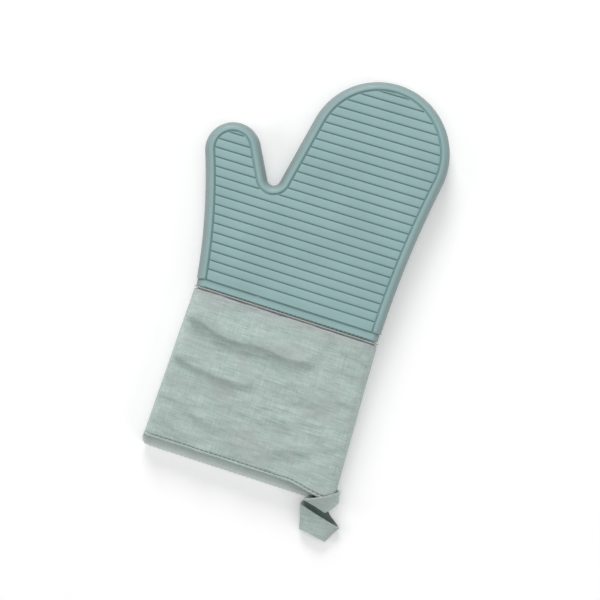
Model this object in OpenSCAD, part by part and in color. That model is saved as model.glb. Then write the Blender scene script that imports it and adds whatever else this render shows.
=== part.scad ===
// Oven mitt that lies flat: a moulded silicone glove with ribbed faces, a linen cuff sewn under
// its collar, a quilted lining of batting and cotton, and a hanging loop of linen tape.
// Fingers point along +Y, the thumb is on the -X side and the palm faces +Z.

/* [Glove] */
// Length from the collar's sewn edge to the fingertips
glove_len = 196.6; // [170:0.1:240]
// Radius of the finger lobe's end
finger_r = 56.4; // [47:0.1:66]
// Offset of the finger lobe from the cuff's middle
finger_x = 27.8; // [22:0.1:34]
// Radius of the thumb's end
thumb_r = 22; // [18:0.1:26]
// Offset of the thumb's end from the cuff's middle, towards the thumb's side
thumb_x = 80.7; // [74:0.1:90]
// How far the thumb's tip lies below the fingertips
thumb_drop = 66.4; // [54:0.1:78]
// Direction of the thumb's tip, turned from the width of the cuff
thumb_aim = 115; // [100:1:130]
// Radius of the notch between thumb and fingers
notch_r = 5.3; // [4:0.1:8]
// Offset of the notch from the cuff's middle, towards the thumb's side
notch_x = 43.6; // [38:0.1:48]
// How far the notch's bottom lies below the fingertips
notch_drop = 105; // [90:0.1:120]
// Radius of the hollow curve along the fingers' side
finger_side_r = 804; // [500:1:2000]
// Radius of the hollow curve along the thumb's side
thumb_side_r = 458; // [350:1:1000]
// Thickness of the glove over its ribs
glove_t = 26; // [22:0.1:34]
// Width of the rounded rim
rim_w = 7.5; // [7:0.1:9]
// Thickness of the silicone, ribs included
silicone_t = 2.4; // [2:0.1:3]

/* [Ribs and collar] */
// Distance from one rib to the next
rib_pitch = 7.2; // [6:0.1:10]
// Width of the groove between two ribs
groove_w = 1; // [0.6:0.1:2]
// Depth of the groove
groove_depth = 0.9; // [0.4:0.1:1.2]
// Room between the rim and the ends of the grooves
groove_margin = 1; // [0.5:0.1:4]
// Distance from the collar to the first groove
rib_start = 8.9; // [6:0.1:14]
// Length of the flat collar that the cuff is sewn under
collar_len = 5.4; // [4:0.1:12]
// How far the ribbed faces stand above the collar
collar_step = 2; // [1:0.1:4]

/* [Cuff] */
// Length of the linen from the mouth's back edge to the piping
cuff_len = 130.6; // [90:0.1:170]
// Half the width of the wrist on the thumb's side
wrist_left = 76.3; // [70:0.1:84]
// Half the width of the wrist on the fingers' side
wrist_right = 73.8; // [68:0.1:82]
// Half the width of the mouth
mouth_half = 79.3; // [72:0.1:92]
// Thickness of the cuff at its mouth
mouth_t = 19; // [17:0.1:24]
// How far the back of the cuff reaches past its front
back_reach = 8.5; // [0:0.1:15]
// Thickness of the linen
linen_t = 0.9; // [0.6:0.1:1.2]
// Depth to which the linen is turned in at the mouth
hem_len = 25; // [15:0.1:40]
// Width of the piping between the linen and the collar
piping_w = 2.6; // [1.5:0.1:4]
// How far the piping stands out
piping_rise = 0.5; // [0.2:0.1:0.7]

/* [Lining] */
// Thickness of the batting
batting_t = 3; // [2:0.1:3.5]
// Thickness of the cotton next to the hand
cotton_t = 0.9; // [0.6:0.1:1.2]

/* [Hanging loop] */
// Width of the tape
tape_w = 19; // [14:0.1:24]
// Thickness of the folded tape
tape_t = 1.6; // [1.2:0.1:2.2]
// Width of the flattened loop across the mitt
loop_w = 33; // [26:0.1:42]
// Height of the flattened loop
loop_h = 10.8; // [9.5:0.1:11]
// How far the loop reaches past the cuff's side
loop_out = 10.7; // [4:0.1:14]
// Length of tape between the cuff and the loop
neck_len = 9; // [6:0.1:14]
// Length of tape sewn inside the cuff
tail_len = 16; // [10:0.1:24]

/* [Stitching] */
// Length of a stitch
stitch_len = 3.4; // [2:0.1:5]
// Gap between two stitches
stitch_gap = 1; // [0.5:0.1:2]
// Thickness of the thread
thread_d = 0.6; // [0.4:0.1:0.7]
// Distance from the cuff's front edge to its row of stitches
hem_seam = 2.7; // [2:0.1:6]
// Room between a row of stitches and the ends of the cloth's flat part
stitch_margin = 2; // [1:0.1:4]

/* [Joints] */
// Room left where the glove folds
fold_gap = 0.6; // [0.4:0.1:1]
// Direction of the thumb's fold, down from the width of the cuff
thumb_fold_angle = 30; // [20:1:40]

/* [Hidden] */
$fn = 48;

// Room between layers, between the front and back halves, and under the seams
ply_gap = 0.15;
half_gap = 0.3;
seam_lift = 0.8;
// Steps of the rim's curve, a length past the mitt's sides and one past a face that is cut
rim_steps = 3;
beyond = 200;
past_face = 1;

// Depth below the glove's surface at which each layer starts and ends
batting_in = silicone_t + ply_gap;
cotton_in = batting_in + batting_t + ply_gap;
lined = cotton_in + cotton_t;
// Depth below the linen's surface at which each layer of the cuff starts
hem_in = linen_t + ply_gap;
cuff_cotton_in = hem_in + batting_t + ply_gap;
tucked = silicone_t + ply_gap;
// Depth at which the piping's surface starts at its two edges, and its thickness
piping_in = 0.2;
piping_t = tucked - 2 * piping_in - ply_gap;

// Heights along the mitt, from the mouth's back edge
seam_y = cuff_len + piping_w;
collar_y = seam_y + collar_len;
tip_y = seam_y + glove_len;
wrist_top = glove_t - collar_step;

// Heights of the rows of stitches, and where they end
collar_seam_y = mix(seam_y, collar_y, 0.4);
hem_seam_y = back_reach + hem_seam;
seam_room = rim_w + stitch_margin;

// Centres of the outline's arcs: each one is tangent to the next
finger_c = [finger_x, tip_y - finger_r];
thumb_c = [-thumb_x, tip_y - thumb_drop - thumb_r];
notch_c = [-notch_x, tip_y - notch_drop + notch_r];
finger_side_c = circles_meet([wrist_right, seam_y], finger_side_r,
    finger_c, finger_side_r + finger_r, -1);
thumb_side_c = circles_meet([-wrist_left, seam_y], thumb_side_r,
    thumb_c, thumb_side_r + thumb_r, 1);

// Angles at which the notch runs into the fingers and into the thumb
to_fingers = crossing(notch_c, notch_r, finger_c, finger_r, -1);
to_thumb = crossing(notch_c, notch_r, thumb_c, thumb_r, 1);

// Ends of the two folds: where the fingers and the thumb start
fingers_in = [polar(notch_c, notch_r, to_fingers), [-1, 0]];
fold_y = fingers_in[0].y;
fingers_out = [side_edge(finger_side_c, finger_side_r, -1, fold_y)[0], [1, 0]];
thumb_dir = [cos(thumb_fold_angle), sin(thumb_fold_angle)];
thumb_up = [-thumb_dir.y, thumb_dir.x];
thumb_in = [polar(notch_c, notch_r, to_thumb), thumb_dir];
thumb_out = [line_hit(thumb_in[0], -thumb_dir, thumb_side_c, thumb_side_r), -thumb_dir];

// The hanging loop, from the cuff's side seam outwards
mouth_mid = mouth_t / 2;
loop_right = mouth_half + loop_out;
loop_top = mouth_mid + tape_t;
tape_right = mix(mouth_half, wrist_right, tail_len / cuff_len) - hem_in - linen_t - half_gap * 2;
tape_left = tape_right - tape_w;
loop_start = -fold_gap - neck_len;
loop_end = loop_start - tape_w;

// The middle of the box round the whole mitt becomes the origin
right_end = max(finger_x + finger_r, loop_right);
middle = [(right_end - thumb_x - thumb_r) / 2, (tip_y + loop_end) / 2, 0];

function polar(c, r, a) = c + r * [cos(a), sin(a)];
function angle_to(a, b) = atan2(b.y - a.y, b.x - a.x);
function mix(a, b, t) = a + (b - a) * t;

// The point that lies ra from a and rb from b, on the side asked for
function circles_meet(a, ra, b, rb, side) =
    let (d = norm(b - a), along = (d * d + ra * ra - rb * rb) / (2 * d))
    polar(a, ra, angle_to(a, b) + side * acos(along / ra));

// Angle on the first circle of the line that crosses over to touch the second
function crossing(c1, r1, c2, r2, side) =
    angle_to(c1, c2) + side * acos((r1 + r2) / norm(c2 - c1));

// Where a line that starts outside a circle first meets it
function line_hit(p, dir, c, r) =
    let (w = p - c, b = dir * w)
    p + dir * (-b - sqrt(b * b - w * w + r * r));

// Points of the outline, each with the direction that faces out of the mitt
function bulge_edge(c, r, a) = [polar(c, r, a), [cos(a), sin(a)]];
function side_edge(c, r, side, y) =
    let (a = asin((y - c.y) / r), out = [side * cos(a), sin(a)])
    [c + r * out, -out];
function mid_edge(a, b, t) = [mix(a[0], b[0], t), b[1]];
function level_edge(e) = [e[0], [sign(e[1].x), 0]];

// A station is a slice across the mitt: its left and right edges, the heights of its bottom and
// top, the width of its rim and any points between the edges that it must pass through
function station(left, right, low, high, rim = rim_w, between = []) =
    [left, right, low, high, rim, between];

// Half a slice at a depth below the surface, from the left edge to the right one
function half_slice(s, depth, up, gap) =
    let (
        mid = (s[2] + s[3]) / 2,
        tall = (s[3] - s[2]) / 2 - depth,
        wide = s[4] - depth,
        turns = [for (k = [0:rim_steps]) 90 * k / rim_steps],
        rise = [for (q = turns) max(gap / 2, tall * sin(q))],
        inset = [for (q = turns) depth + wide * (1 - cos(q))])
    concat(
        [for (k = [0:rim_steps])
            place_point(s[0][0] - s[0][1] * inset[k], mid + up * rise[k])],
        [for (b = s[5]) place_point(b[0] - b[1] * depth, mid + up * tall)],
        [for (k = [rim_steps:-1:0])
            place_point(s[1][0] - s[1][1] * inset[k], mid + up * rise[k])]);
function place_point(p, z) = [p.x, p.y, z];

// A whole slice, over the top from left to right and back underneath
function full_slice(s, depth) =
    let (over = half_slice(s, depth, 1, 0), under = half_slice(s, depth, -1, 0), n = len(over))
    concat(over, [for (k = [n - 2:-1:1]) under[k]]);

// A wall between two surfaces, each given as rows of points. The rows are closed rings or open
// strips, and the last row may be a tip in which the surface meets itself.
module wall(outer, inner, ring, tip) {
    rows = len(outer);
    cols = len(outer[0]);
    count = rows * cols;
    span = ring ? cols : cols - 1;
    outside = [for (i = [0:rows - 2], k = [0:span - 1]) let (j = (k + 1) % cols)
        [i * cols + k, (i + 1) * cols + k, (i + 1) * cols + j, i * cols + j]];
    inside = [for (f = outside) [count + f[3], count + f[2], count + f[1], count + f[0]]];
    start = [for (k = [0:span - 1]) let (j = (k + 1) % cols) [k, j, count + j, count + k]];
    last = (rows - 1) * cols;
    end = tip ? [] : [for (f = start) [last + f[3], last + f[2], last + f[1], last + f[0]]];
    left = ring ? [] : [for (i = [0:rows - 2])
        [i * cols, count + i * cols, count + (i + 1) * cols, (i + 1) * cols]];
    right = [for (f = left) [for (k = [3:-1:0]) f[k] + cols - 1]];
    polyhedron(
        [for (row = concat(outer, inner)) each row],
        concat(outside, inside, start, end, left, right));
}

// A ply of the mitt between two depths: all round, or only its upper or lower half
module tube(stations, from, to, tip = false) {
    wall([for (s = stations) full_slice(s, from)], [for (s = stations) full_slice(s, to)],
        true, tip);
}
module ply(stations, from, to, up, tip = false) {
    mirror([0, 0, up > 0 ? 0 : 1])
        translate([0, 0, up > 0 ? 0 : -glove_t])
            wall([for (s = stations) half_slice(turned(s, up), from, 1, half_gap)],
                [for (s = stations) half_slice(turned(s, up), to, 1, half_gap)], false, tip);
}
// The same slice seen from below, measured down from the top of the glove
function turned(s, up) =
    up > 0 ? s : [s[0], s[1], glove_t - s[3], glove_t - s[2], s[4], s[5]];

// Slices of the palm, from the collar to the folds and the notch between them
notch_turns = [for (t = [1, 2]) mix(to_thumb - 360, to_fingers, t / 3)];
notch_reach = notch_r / cos((to_fingers - to_thumb + 360) / 6);
palm_end = concat(
    [[thumb_out[0] - thumb_up * fold_gap, thumb_out[1]],
    [thumb_in[0] - thumb_up * fold_gap, thumb_in[1]]],
    [for (a = notch_turns) [polar(notch_c, notch_reach, a), -[cos(a), sin(a)]]],
    [[fingers_in[0] - [0, fold_gap], fingers_in[1]],
    [fingers_out[0] - [0, fold_gap], fingers_out[1]]]);
function palm_between(y, t) = [for (k = [1:4])
    [mix([palm_end[k][0].x, y], palm_end[k][0], t), palm_end[k][1] * t]];
function palm_slice(y, t, low, high) =
    let (left = side_edge(thumb_side_c, thumb_side_r, 1, mix(y, palm_end[0][0].y, t)),
        right = side_edge(finger_side_c, finger_side_r, -1, mix(y, palm_end[5][0].y, t)))
    station(t == 0 ? level_edge(left) : left, t == 0 ? level_edge(right) : right,
        low, high, rim_w, palm_between(y, t));
ribs_y = collar_y + 1.5 * collar_step;
palm = concat(
    [palm_slice(seam_y, 0, seam_lift, wrist_top),
    palm_slice(collar_y, 0, seam_lift, wrist_top),
    palm_slice(ribs_y, 0, 0, glove_t)],
    [for (t = [0.25:0.25:0.75]) palm_slice(ribs_y, t, 0, glove_t)],
    [station(palm_end[0], palm_end[5], 0, glove_t, rim_w, [for (k = [1:4]) palm_end[k]])]);
palm_lining = [for (i = [1:len(palm) - 1]) palm[i]];

// Slices of the fingers, from their fold to the tip
finger_shoulder = angle_to(finger_c, finger_side_c);
finger_turns = [for (t = [0:1 / 7:1.001]) mix(-to_fingers, 90, t)];
fingers = concat(
    [station(fingers_in, fingers_out, 0, glove_t),
    station(mid_edge(fingers_in, bulge_edge(finger_c, finger_r, to_fingers + 180), 0.5),
        bulge_edge(finger_c, finger_r, finger_shoulder), 0, glove_t)],
    [for (a = finger_turns) station(bulge_edge(finger_c, finger_r, 180 - a),
        bulge_edge(finger_c, finger_r, min(a, 90)), 0, glove_t)]);

// Slices of the thumb, from its fold to the tip
thumb_shoulder = angle_to(thumb_c, thumb_side_c) + 360;
thumb_turns = [for (t = [0:1 / 6:1.001]) min(t, 1)];
thumb = concat(
    [station(thumb_out, thumb_in, 0, glove_t),
    station(side_edge(thumb_side_c, thumb_side_r, 1,
            mix(thumb_out[0].y, polar(thumb_c, thumb_r, thumb_shoulder).y, 0.5)),
        mid_edge(thumb_in, bulge_edge(thumb_c, thumb_r, to_thumb - 180), 0.5), 0, glove_t)],
    [for (t = thumb_turns) station(
        bulge_edge(thumb_c, thumb_r, mix(thumb_shoulder, thumb_aim, t)),
        bulge_edge(thumb_c, thumb_r, mix(to_thumb - 180, thumb_aim, t)), 0, glove_t)]);

// Slices of the cuff, from its mouth to the piping
function cuff_slice(y) =
    let (t = y / cuff_len, left = mix(mouth_half, wrist_left, t),
        right = mix(mouth_half, wrist_right, t))
    station([[-left, y], [-1, 0]], [[right, y], [1, 0]], seam_lift * t,
        mix(mouth_t, wrist_top, t));
function tucked_slice(y, depth) =
    let (edge_l = side_edge(thumb_side_c, thumb_side_r, 1, max(y, seam_y)),
        edge_r = side_edge(finger_side_c, finger_side_r, -1, max(y, seam_y)))
    station([[edge_l[0].x + depth, y], [-1, 0]], [[edge_r[0].x - depth, y], [1, 0]],
        seam_lift + depth, wrist_top - depth, rim_w - depth);
function cuff(y0) = [for (t = [0:0.25:1]) cuff_slice(mix(y0, cuff_len - tucked, t))];
tuck = [for (y = [cuff_len - ply_gap, collar_y - ply_gap]) tucked_slice(y, tucked)];
piping_slices = [for (t = [0:0.25:1])
    tucked_slice(mix(cuff_len, seam_y - ply_gap, t), piping_in - piping_rise * sin(180 * t))];

// Grooves between the ribs, inside the rim of one part of the glove
module grooves(stations) {
    inset = rim_w + groove_margin;
    last = stations[len(stations) - 1];
    region = concat(
        [for (s = stations) s[0][0] - s[0][1] * inset],
        [for (b = last[5]) b[0] - b[1] * inset],
        [for (i = [len(stations) - 1:-1:0]) stations[i][1][0] - stations[i][1][1] * inset]);
    lines = floor((glove_len - collar_len - rib_start) / rib_pitch);
    for (z = [-past_face, glove_t - groove_depth])
        translate([0, 0, z])
            linear_extrude(groove_depth + past_face)
                intersection() {
                    polygon(region);
                    for (k = [0:lines])
                        translate([-beyond, collar_y + rib_start + k * rib_pitch - groove_w / 2])
                            square([2 * beyond, groove_w]);
                }
}

// The silicone that closes the notch between the two folds
module notch_web() {
    bend = [for (k = [1:4]) palm_end[k]];
    translate([0, 0, groove_depth])
        linear_extrude(glove_t - 2 * groove_depth)
            polygon(concat([for (b = bend) b[0]],
                [for (k = [3:-1:0]) bend[k][0] - bend[k][1] * silicone_t]));
}

// A row of stitches along X, lying on a surface at height z
module stitches(x0, x1, y, z) {
    step = stitch_len + stitch_gap;
    count = floor((x1 - x0 + stitch_gap) / step);
    start = (x0 + x1 - count * step + stitch_gap) / 2;
    for (k = [0:count - 1])
        translate([start + k * step, y - thread_d / 2, z])
            cube([stitch_len, thread_d, thread_d]);
}
module rounded_bar(width, height) {
    translate([height / 2, 0]) square([width - height, height]);
    for (x = [height / 2, width - height / 2])
        translate([x, height / 2]) circle(height / 2);
}

module placed() {
    translate(-middle) children();
}

module silicone_palm() {
    color("cadetblue") placed() difference() {
        union() {
            tube(palm, 0, silicone_t);
            notch_web();
        }
        grooves([for (i = [2:len(palm) - 1]) palm[i]]);
    }
}
module silicone_fingers() {
    color("cadetblue") placed() difference() {
        tube(fingers, 0, silicone_t, true);
        grooves([for (i = [0:len(fingers) - 2]) fingers[i]]);
    }
}
module silicone_thumb() {
    color("cadetblue") placed() difference() {
        tube(thumb, 0, silicone_t, true);
        grooves([for (i = [0:len(thumb) - 2]) thumb[i]]);
    }
}

module batting_front_palm() {
    color("white") placed() ply(palm_lining, batting_in, cotton_in - ply_gap, 1);
}
module batting_front_fingers() {
    color("white") placed() ply(fingers, batting_in, cotton_in - ply_gap, 1, true);
}
module batting_front_thumb() {
    color("white") placed() ply(thumb, batting_in, cotton_in - ply_gap, 1, true);
}
module batting_back_palm() {
    color("white") placed() ply(palm_lining, batting_in, cotton_in - ply_gap, -1);
}
module batting_back_fingers() {
    color("white") placed() ply(fingers, batting_in, cotton_in - ply_gap, -1, true);
}
module batting_back_thumb() {
    color("white") placed() ply(thumb, batting_in, cotton_in - ply_gap, -1, true);
}
module cotton_front_palm() {
    color("beige") placed() ply(palm_lining, cotton_in, lined, 1);
}
module cotton_front_fingers() {
    color("beige") placed() ply(fingers, cotton_in, lined, 1, true);
}
module cotton_front_thumb() {
    color("beige") placed() ply(thumb, cotton_in, lined, 1, true);
}
module cotton_back_palm() {
    color("beige") placed() ply(palm_lining, cotton_in, lined, -1);
}
module cotton_back_fingers() {
    color("beige") placed() ply(fingers, cotton_in, lined, -1, true);
}
module cotton_back_thumb() {
    color("beige") placed() ply(thumb, cotton_in, lined, -1, true);
}

// The cuff's lining runs from the hem to the palm's lining, narrowing under the collar
module cuff_lining(from, to, up) {
    rows = concat(cuff(hem_len + ply_gap), tuck);
    ply(rows, from, to, up);
}
module batting_front_cuff() {
    color("white") placed() cuff_lining(hem_in, hem_in + batting_t, 1);
}
module batting_back_cuff() {
    color("white") placed() cuff_lining(hem_in, hem_in + batting_t, -1);
}
module cotton_front_cuff() {
    color("beige") placed() cuff_lining(cuff_cotton_in, cuff_cotton_in + cotton_t, 1);
}
module cotton_back_cuff() {
    color("beige") placed() cuff_lining(cuff_cotton_in, cuff_cotton_in + cotton_t, -1);
}

module cuff_front() {
    color("darkseagreen") placed() ply(concat(cuff(back_reach), tuck), 0, linen_t, 1);
}
module cuff_back() {
    color("darkseagreen") placed() ply(concat(cuff(0), tuck), 0, linen_t, -1);
}
module hem_front() {
    color("darkseagreen") placed()
        ply([for (y = [back_reach, hem_len]) cuff_slice(y)], hem_in, hem_in + linen_t, 1);
}
module hem_back() {
    color("darkseagreen") placed()
        ply([for (y = [0, hem_len]) cuff_slice(y)], hem_in, hem_in + linen_t, -1);
}
module piping() {
    color("darkseagreen") placed() tube(piping_slices, 0, piping_t);
}

module collar_stitching() {
    color("slategray") placed()
        for (z = [wrist_top, seam_lift - thread_d])
            stitches(seam_room - wrist_left, wrist_right - seam_room, collar_seam_y, z);
}
module hem_stitching_front() {
    color("lightgray") placed()
        stitches(seam_room - mouth_half, mouth_half - seam_room, hem_seam_y,
            mix(mouth_t, wrist_top, (hem_seam_y + thread_d) / cuff_len));
}
module hem_stitching_back() {
    color("lightgray") placed()
        stitches(seam_room - mouth_half, mouth_half - seam_room, hem_seam_y,
            hem_in + linen_t + seam_lift * (hem_seam_y + thread_d) / cuff_len);
}

module loop_tail() {
    color("darkseagreen") placed()
        translate([tape_left, fold_gap / 2, mouth_mid - tape_t])
            cube([tape_w, tail_len, 2 * tape_t]);
}
module hanging_loop() {
    color("darkseagreen") placed() {
        translate([loop_right - loop_w, loop_start, loop_top - loop_h])
            rotate([90, 0, 0])
                linear_extrude(tape_w)
                    difference() {
                        rounded_bar(loop_w, loop_h);
                        translate([tape_t, tape_t])
                            rounded_bar(loop_w - 2 * tape_t, loop_h - 2 * tape_t);
                    }
        translate([tape_left, loop_start - tape_w / 4, mouth_mid - tape_t])
            cube([tape_w, neck_len + tape_w / 4, 2 * tape_t]);
    }
}
module loop_stitching() {
    color("lightgray") placed()
        stitches(tape_left + stitch_margin, tape_right - stitch_margin, loop_start - tape_w / 8, loop_top);
}

silicone_palm();
silicone_fingers();
silicone_thumb();
batting_front_palm();
batting_front_fingers();
batting_front_thumb();
batting_front_cuff();
batting_back_palm();
batting_back_fingers();
batting_back_thumb();
batting_back_cuff();
cotton_front_palm();
cotton_front_fingers();
cotton_front_thumb();
cotton_front_cuff();
cotton_back_palm();
cotton_back_fingers();
cotton_back_thumb();
cotton_back_cuff();
cuff_front();
cuff_back();
hem_front();
hem_back();
piping();
collar_stitching();
hem_stitching_front();
hem_stitching_back();
loop_tail();
hanging_loop();
loop_stitching();
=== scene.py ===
"""Looks of an oven mitt that lies flat: ribbed silicone glove, linen cuff, quilted lining, tape loop.

Sizes are in millimetres, measured from the cuff's back edge (y) and from its middle line (x). They
are turned into the frame's metres when a mesh is made.
"""
import math

import bpy
import numpy as np
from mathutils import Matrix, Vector, noise


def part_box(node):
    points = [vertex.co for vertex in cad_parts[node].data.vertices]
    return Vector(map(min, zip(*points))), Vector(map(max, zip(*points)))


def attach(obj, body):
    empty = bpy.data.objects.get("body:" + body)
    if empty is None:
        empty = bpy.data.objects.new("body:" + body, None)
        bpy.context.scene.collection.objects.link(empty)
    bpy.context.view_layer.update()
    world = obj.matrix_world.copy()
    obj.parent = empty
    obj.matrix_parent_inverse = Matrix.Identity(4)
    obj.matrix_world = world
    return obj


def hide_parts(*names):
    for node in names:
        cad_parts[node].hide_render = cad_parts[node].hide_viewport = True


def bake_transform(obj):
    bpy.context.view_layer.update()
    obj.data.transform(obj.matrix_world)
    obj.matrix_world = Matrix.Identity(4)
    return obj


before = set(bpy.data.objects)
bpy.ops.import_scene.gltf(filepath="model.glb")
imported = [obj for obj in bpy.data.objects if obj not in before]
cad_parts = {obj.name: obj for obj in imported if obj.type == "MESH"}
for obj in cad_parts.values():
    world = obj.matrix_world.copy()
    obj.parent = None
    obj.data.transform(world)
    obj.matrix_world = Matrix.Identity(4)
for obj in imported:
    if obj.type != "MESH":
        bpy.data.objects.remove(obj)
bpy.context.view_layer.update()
MM = 0.001


# ---------------------------------------------------------------- sizes
def box_mm(node):
    low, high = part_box(node)
    return np.array(low) / MM, np.array(high) / MM


def middle_of(low, high):
    return (low + high) / 2


CUFF_LOW, CUFF_HIGH = box_mm("cuff_back")
ORIGIN = np.array([middle_of(CUFF_LOW[0], CUFF_HIGH[0]), CUFF_LOW[1], 0.0])
TIP_Y = box_mm("silicone_fingers")[1][1] - ORIGIN[1]
SEAM_Y = box_mm("silicone_palm")[0][1] - ORIGIN[1]
GLOVE_T = box_mm("silicone_palm")[1][2]
MID_Z = GLOVE_T / 2
COLLAR_LEN = 5.9
COLLAR_Y = SEAM_Y + COLLAR_LEN
PIPING_W = 2.6
CUFF_LEN = SEAM_Y - PIPING_W
# Lowest and highest level of the collar, and of the cuff's upper end
COLLAR_LOW = 0.8
COLLAR_HIGH = GLOVE_T - 1.5

# Arcs of the glove's outline: radius (R) and middle (C) of each
FINGER_R = 56.4
FINGER_C = np.array([27.8, TIP_Y - FINGER_R])
THUMB_R = 22.0
THUMB_C = np.array([-80.7, TIP_Y - 66.4 - THUMB_R])
NOTCH_R = 5.3
NOTCH_C = np.array([-43.6, TIP_Y - 105 + NOTCH_R])
FINGER_SIDE_R = 804.0
THUMB_SIDE_R = 458.0
# Half the wrist's width on each side, and where the edges start below the seam
WRIST_LEFT = 76.3
WRIST_RIGHT = 73.8
BELOW_SEAM = 3

# Ribs of the glove: they rise a little to the right, more so towards the fingertips
RIB_PITCH = 7.2
FIRST_GROOVE = COLLAR_Y + 8.4
RIB_MIDDLE_X = 10.0
RIB_TILT = 0.006
RIB_TILT_GROWTH = 0.00017
# The last groove, near the fingertips, is a short one that lies closer to its neighbour
GROOVE_COUNT = 25
LAST_GROOVE_CLOSER = 1.2
GROOVES = FIRST_GROOVE + RIB_PITCH * np.arange(GROOVE_COUNT)
GROOVES[-1] -= LAST_GROOVE_CLOSER
# Thumb and fingers are separate pieces from this groove on
SPLIT_Y = GROOVES[6]
# Thickness of the silicone, and width of the rounded sides of the lining and of the cuff
WALL = 2.0
SIDE_W = 7.5


# ---------------------------------------------------------------- plane geometry
def polar(c, r, degrees):
    a = np.radians(degrees)
    return np.asarray(c) + r * np.stack([np.cos(a), np.sin(a)], -1)


def angle_to(a, b):
    return math.degrees(math.atan2(b[1] - a[1], b[0] - a[0])) % 360


def circles_meet(a, ra, b, rb, side):
    """The point that lies ra from a and rb from b, on the side asked for."""
    d = math.dist(a, b)
    along = (d * d + ra * ra - rb * rb) / (2 * d)
    return polar(a, ra, angle_to(a, b) + side * math.degrees(math.acos(along / ra)))


def crossing(c1, r1, c2, r2, side):
    """Angle on the first circle of the line that crosses over to touch the second."""
    return angle_to(c1, c2) + side * math.degrees(math.acos((r1 + r2) / math.dist(c1, c2)))


def smooth_step(t):
    t = np.clip(t, 0, 1)
    return t * t * (3 - 2 * t)


FINGER_SIDE_C = circles_meet((WRIST_RIGHT, SEAM_Y), FINGER_SIDE_R,
                             FINGER_C, FINGER_SIDE_R + FINGER_R, -1)
THUMB_SIDE_C = circles_meet((-WRIST_LEFT, SEAM_Y), THUMB_SIDE_R,
                            THUMB_C, THUMB_SIDE_R + THUMB_R, 1)
TO_FINGERS = crossing(NOTCH_C, NOTCH_R, FINGER_C, FINGER_R, -1)
TO_THUMB = crossing(NOTCH_C, NOTCH_R, THUMB_C, THUMB_R, 1)


# ---------------------------------------------------------------- outline
EDGE_STEP = 0.4


def arc_path(c, r, a0, a1, out=1):
    """Points along an arc, each with the direction that faces out of the mitt."""
    steps = max(2, int(abs(math.radians(a1 - a0)) * r / EDGE_STEP))
    a = np.linspace(a0, a1, steps)
    return np.hstack([polar(c, r, a), out * polar((0, 0), 1, a)])


def joined(first, second):
    """Two arcs, with the straight stretch between them filled in."""
    steps = max(2, int(math.dist(first[-1][:2], second[0][:2]) / EDGE_STEP))
    t = np.linspace(0, 1, steps + 1)[1:-1, None]
    return np.vstack([first, first[-1] * (1 - t) + second[0] * t, second])


def tilt_at(y):
    """Slope of the rib line of height y."""
    return RIB_TILT + RIB_TILT_GROWTH * (y - FIRST_GROOVE)


def tip_angle(c, r):
    """Angle of the place on a lobe's arc where the rib line is its tangent."""
    return 90 + math.degrees(math.atan(tilt_at(c[1] + r)))


def seam_angle(c, r):
    """Angle of the place on an arc that lies a little below the seam."""
    return math.degrees(math.asin((SEAM_Y - BELOW_SEAM - c[1]) / r))


THUMB_TOP = tip_angle(THUMB_C, THUMB_R)
FINGER_TOP = tip_angle(FINGER_C, FINGER_R)
OUTER_LEFT = joined(
    arc_path(THUMB_SIDE_C, THUMB_SIDE_R, seam_angle(THUMB_SIDE_C, THUMB_SIDE_R),
             angle_to(THUMB_SIDE_C, THUMB_C), -1),
    arc_path(THUMB_C, THUMB_R, angle_to(THUMB_C, THUMB_SIDE_C), THUMB_TOP))
THUMB_INSIDE = joined(
    arc_path(NOTCH_C, NOTCH_R, -90, TO_THUMB - 360, -1),
    arc_path(THUMB_C, THUMB_R, TO_THUMB - 180, THUMB_TOP))
FINGER_INSIDE = joined(
    arc_path(NOTCH_C, NOTCH_R, -90, TO_FINGERS, -1),
    arc_path(FINGER_C, FINGER_R, TO_FINGERS + 180, FINGER_TOP))
OUTER_RIGHT = joined(
    arc_path(FINGER_SIDE_C, FINGER_SIDE_R, 180 - seam_angle(FINGER_SIDE_C, FINGER_SIDE_R),
             angle_to(FINGER_SIDE_C, FINGER_C), -1),
    arc_path(FINGER_C, FINGER_R, angle_to(FINGER_C, FINGER_SIDE_C) - 360, FINGER_TOP))


# ---------------------------------------------------------------- meshes
SHARP_EDGE = math.radians(58)
# Points are one when they round to the same step, with so many steps to a millimetre
MERGE_STEPS = 500


def make_piece(name, points, faces, material, marks=None):
    """A mesh object from points in millimetres."""
    mesh = bpy.data.meshes.new(name)
    mesh.from_pydata(((np.asarray(points, float) + ORIGIN) * MM).tolist(), [], faces)
    mesh.validate()
    rest = mesh.attributes.new("rest", "FLOAT_VECTOR", "POINT")
    rest.data.foreach_set("vector", np.asarray(points, np.float32).ravel())
    for label, values in (marks or {}).items():
        layer = mesh.attributes.new(label, "FLOAT", "POINT")
        layer.data.foreach_set("value", np.asarray(values, np.float32))
    mesh.polygons.foreach_set("use_smooth", [True] * len(mesh.polygons))
    mesh.set_sharp_from_angle(angle=SHARP_EDGE)
    mesh.materials.append(material)
    piece = bpy.data.objects.new(name, mesh)
    bpy.context.scene.collection.objects.link(piece)
    return piece


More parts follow.
